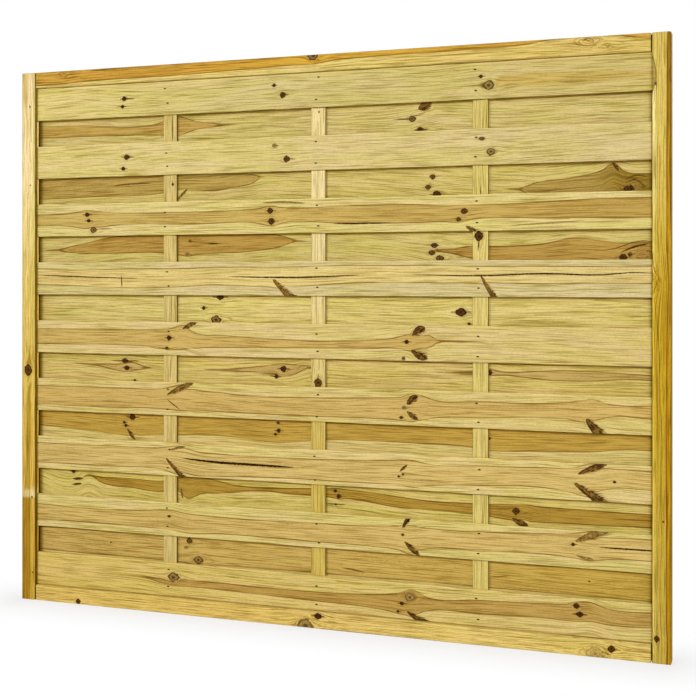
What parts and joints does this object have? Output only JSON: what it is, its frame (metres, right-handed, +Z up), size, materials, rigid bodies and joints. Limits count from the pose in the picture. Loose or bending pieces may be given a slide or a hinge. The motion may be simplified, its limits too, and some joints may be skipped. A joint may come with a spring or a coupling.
{
  "type": "privacy fence panel",
  "caption": "Framed timber privacy fence panel with level slats set by turns on the front and back of upright battens.",
  "frame": {"origin": "foot of the left stile's outer face, which is screwed to a post, at the middle of the timber's thickness", "axes": "+X along the panel from the left stile to the right stile, +Y from the front to the back, +Z up"},
  "size_m": [1.8, 0.044, 1.5],
  "materials": {
    "frame_timber": "planed pine, pressure treated, golden yellow",
    "slat_timber": "planed pine, pressure treated, pale green yellow with tan heartwood and dark knots",
    "batten_timber": "planed pine, pressure treated, pale green yellow",
    "nail_steel": "dull weathered steel nail heads, set just under the surface"
  },
  "bodies": {
    "root": {"left_stile": "frame_timber", "right_stile": "frame_timber", "top_rail": "frame_timber", "bottom_rail": "frame_timber", "batten_1": "batten_timber", "batten_2": "batten_timber", "batten_3": "batten_timber", "front_slat_1": "slat_timber", "front_slat_2": "slat_timber", "front_slat_3": "slat_timber", "front_slat_4": "slat_timber", "front_slat_5": "slat_timber", "front_slat_6": "slat_timber", "front_slat_7": "slat_timber", "front_slat_8": "slat_timber", "front_slat_9": "slat_timber", "back_slat_1": "slat_timber", "back_slat_2": "slat_timber", "back_slat_3": "slat_timber", "back_slat_4": "slat_timber", "back_slat_5": "slat_timber", "back_slat_6": "slat_timber", "back_slat_7": "slat_timber", "back_slat_8": "slat_timber"}
  },
  "joints": []
}
